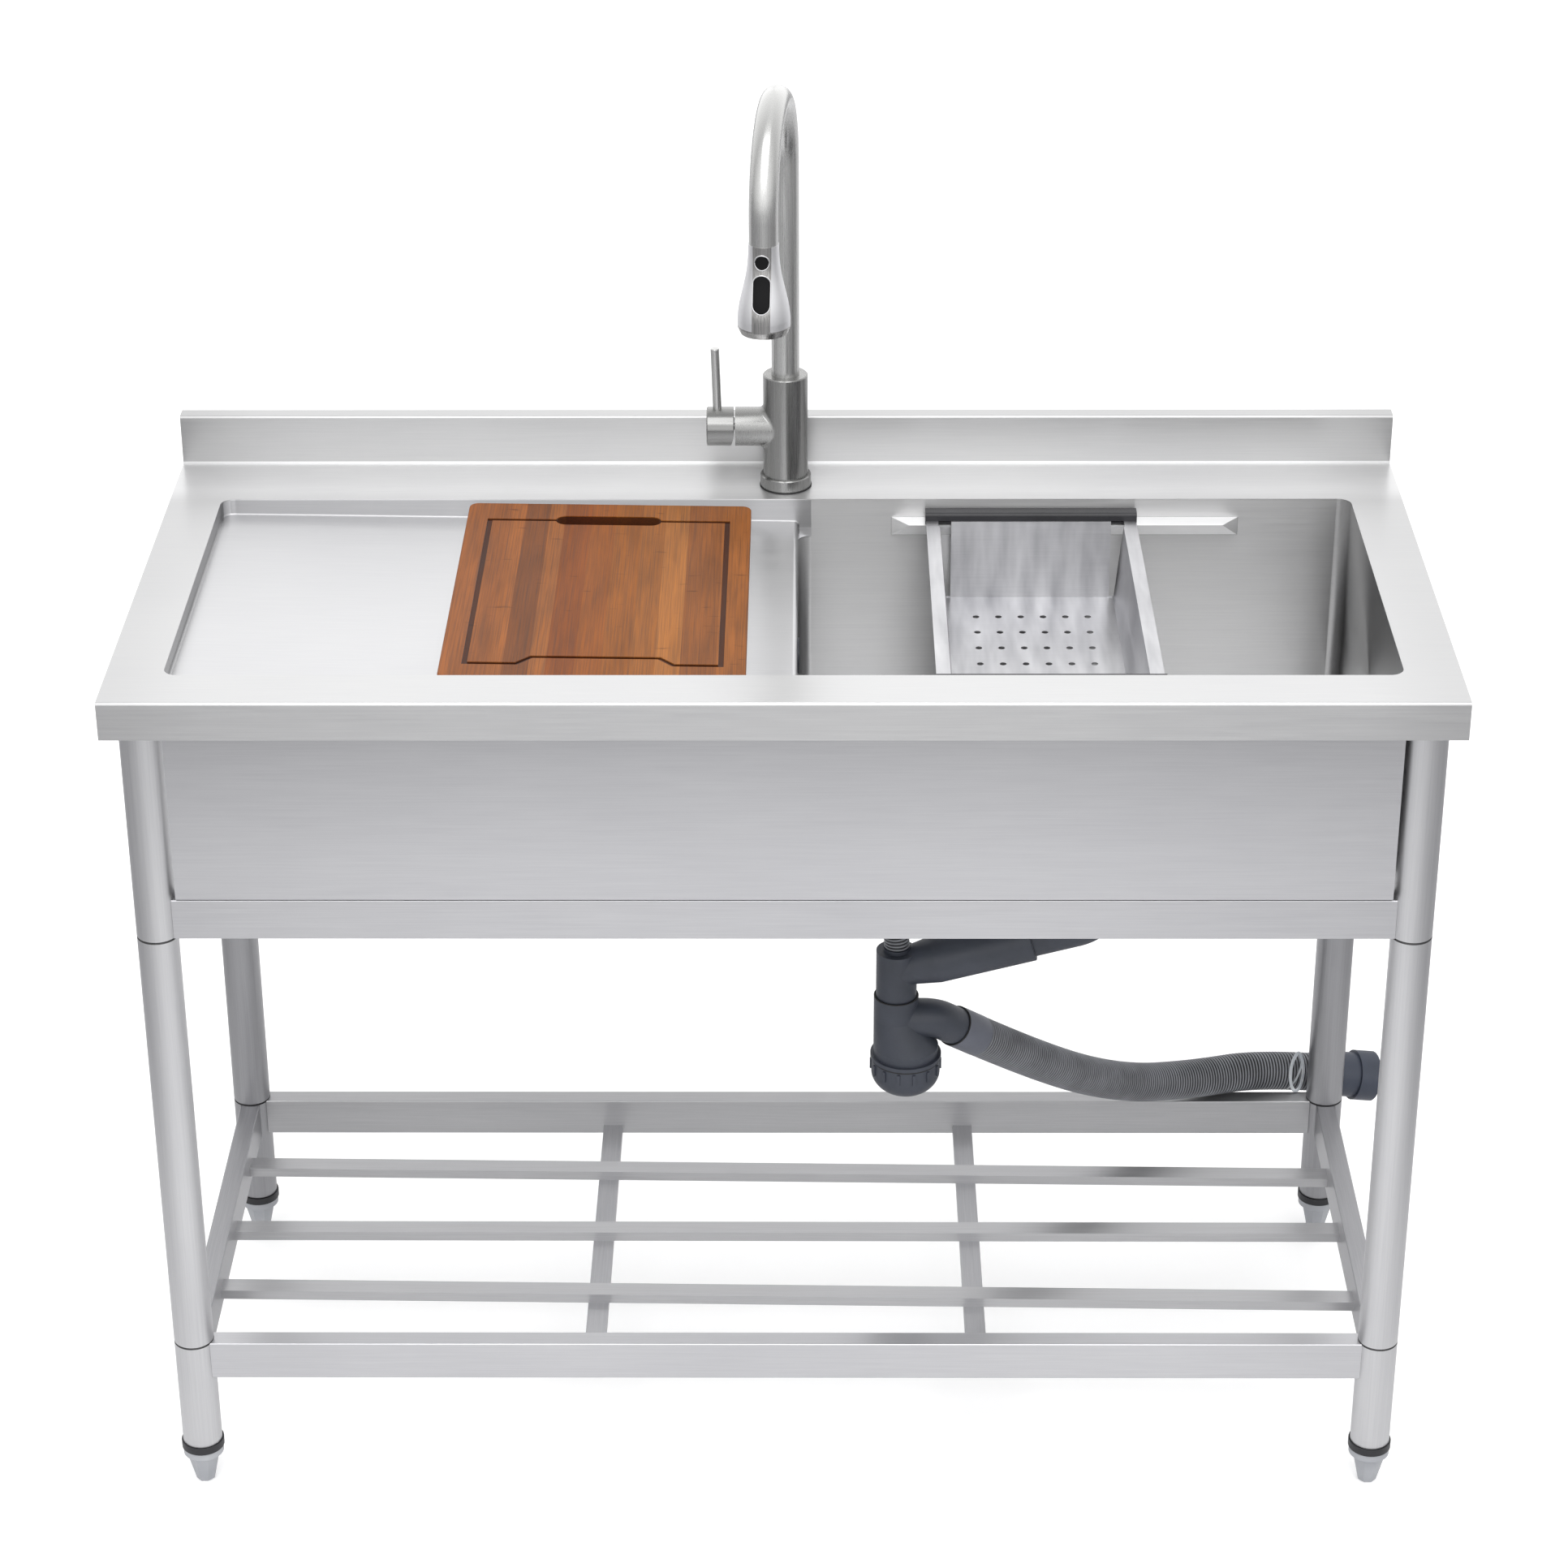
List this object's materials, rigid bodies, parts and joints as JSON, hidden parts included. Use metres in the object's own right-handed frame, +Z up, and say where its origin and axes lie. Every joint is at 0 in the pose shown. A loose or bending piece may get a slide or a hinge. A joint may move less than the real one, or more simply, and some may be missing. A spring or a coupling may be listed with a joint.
{
  "type": "freestanding utility sink",
  "caption": "Stainless utility sink on a tubular stand: sloping drainboard, deep bowl, lift-out board and colander, pull-down tap, bottle trap and ribbed waste hose.",
  "frame": {"origin": "On the floor under the middle of the worktop", "axes": "+X to the user's right, +Y to the wall behind, +Z up"},
  "size_m": [1.2366, 0.5618, 1.2959],
  "materials": {
    "stainless_sheet": "satin brushed stainless sheet",
    "stainless_tube": "drawn stainless tube, satin",
    "stainless_drain": "satin stainless drain fittings",
    "nickel": "brushed nickel on a steel tap",
    "plated_plastic": "plated plastic, brushed nickel look",
    "black_plastic": "black moulded plastic",
    "foot_plastic": "light grey moulded plastic",
    "slate_plastic": "dark slate grey moulded plastic",
    "hose_plastic": "grey flexible plastic",
    "nylon": "clear nylon tie",
    "white_plastic": "white cartridge plastic",
    "dark_rubber": "black rubber",
    "brass": "machined brass",
    "wood": "oiled reddish-brown strips"
  },
  "bodies": {
    "stand": {"worktop": "stainless_sheet", "drainboard": "stainless_sheet", "sink_bowl": "stainless_sheet", "front_apron": "stainless_sheet", "leg_head_front_left": "stainless_tube", "leg_head_front_right": "stainless_tube", "leg_head_back_left": "stainless_tube", "leg_head_back_right": "stainless_tube", "leg_tube_front_left": "stainless_tube", "leg_tube_front_right": "stainless_tube", "leg_tube_back_left": "stainless_tube", "leg_tube_back_right": "stainless_tube", "leg_base_front_left": "stainless_tube", "leg_base_front_right": "stainless_tube", "leg_base_back_left": "stainless_tube", "leg_base_back_right": "stainless_tube", "apron_rail_front": "stainless_tube", "apron_rail_back": "stainless_tube", "apron_rail_left": "stainless_tube", "apron_rail_right": "stainless_tube", "shelf_rail_front": "stainless_tube", "shelf_rail_back": "stainless_tube", "shelf_rail_left": "stainless_tube", "shelf_rail_right": "stainless_tube", "shelf_slats": "stainless_tube", "shelf_bearers": "stainless_tube", "leg_spigots": "stainless_tube", "strainer_flange": "stainless_drain", "tap_base": "nickel", "tap_body": "nickel", "leg_inserts": "black_plastic", "strainer_cup": "slate_plastic", "drain_arm": "slate_plastic", "trap_bottle": "slate_plastic", "trap_cap": "slate_plastic", "overflow_elbow": "slate_plastic", "hose_end": "slate_plastic", "waste_hose": "hose_plastic", "overflow_hose": "hose_plastic", "hose_tie": "nylon", "valve_cartridge": "white_plastic", "gaskets": "dark_rubber", "tap_nut": "brass"},
    "spout": {"spout": "nickel", "spray_hose": "hose_plastic"},
    "spray_head": {"spray_head": "plated_plastic", "spray_nozzle": "dark_rubber"},
    "stream_button": {"stream_button": "black_plastic"},
    "pause_button": {"pause_button": "black_plastic"},
    "valve_stem": {"valve_stem": "nickel"},
    "lever": {"lever_cap": "nickel", "lever_rod": "nickel"},
    "cutting_board": {"cutting_board": "wood"},
    "colander": {"colander_basket": "stainless_sheet", "colander_grips": "black_plastic"},
    "strainer_basket": {"strainer_basket": "stainless_drain"},
    "foot_front_left": {"foot_front_left": "foot_plastic"},
    "foot_front_right": {"foot_front_right": "foot_plastic"},
    "foot_back_left": {"foot_back_left": "foot_plastic"},
    "foot_back_right": {"foot_back_right": "foot_plastic"}
  },
  "joints": [
    {"name": "spout_swivel", "type": "hinge", "parent": "stand", "child": "spout", "pos_m": [0, 0.206, 0.96], "axis": [0, 0, 1], "range_deg": [-180, 180]},
    {"name": "spray_head_pull", "type": "slide", "parent": "spout", "child": "spray_head", "axis": [0, 0, -1], "range_m": [0, 0.08], "stiffness_N_per_m": 20, "springref_m": -0.25},
    {"name": "stream_button_press", "type": "slide", "parent": "spray_head", "child": "stream_button", "axis": [0.1115, 0.9938, 0], "range_m": [0, 0.0012], "stiffness_N_per_m": 800, "springref_m": -0.001},
    {"name": "pause_button_press", "type": "slide", "parent": "spray_head", "child": "pause_button", "axis": [0.1115, 0.9938, 0], "range_m": [0, 0.0012], "stiffness_N_per_m": 800, "springref_m": -0.001},
    {"name": "lever_temperature", "type": "hinge", "parent": "stand", "child": "valve_stem", "pos_m": [-0.058, 0.206, 0.9317], "axis": [1, 0, 0], "range_deg": [-45, 45]},
    {"name": "lever_flow", "type": "hinge", "parent": "valve_stem", "child": "lever", "pos_m": [-0.058, 0.206, 0.9317], "axis": [0, -1, 0], "range_deg": [0, 12]},
    {"name": "cutting_board_lift", "type": "slide", "parent": "stand", "child": "cutting_board", "axis": [0, 0, 1], "range_m": [0, 0.08]},
    {"name": "colander_slide", "type": "slide", "parent": "stand", "child": "colander", "axis": [1, 0, 0], "range_m": [-0.033, 0.1]},
    {"name": "strainer_basket_lift", "type": "slide", "parent": "stand", "child": "strainer_basket", "axis": [0, 0, 1], "range_m": [0, 0.05]},
    {"name": "foot_front_left_screw", "type": "slide", "parent": "stand", "child": "foot_front_left", "axis": [0, 0, -1], "range_m": [0, 0.02]},
    {"name": "foot_front_right_screw", "type": "slide", "parent": "stand", "child": "foot_front_right", "axis": [0, 0, -1], "range_m": [0, 0.02]},
    {"name": "foot_back_left_screw", "type": "slide", "parent": "stand", "child": "foot_back_left", "axis": [0, 0, -1], "range_m": [0, 0.02]},
    {"name": "foot_back_right_screw", "type": "slide", "parent": "stand", "child": "foot_back_right", "axis": [0, 0, -1], "range_m": [0, 0.02]}
  ]
}
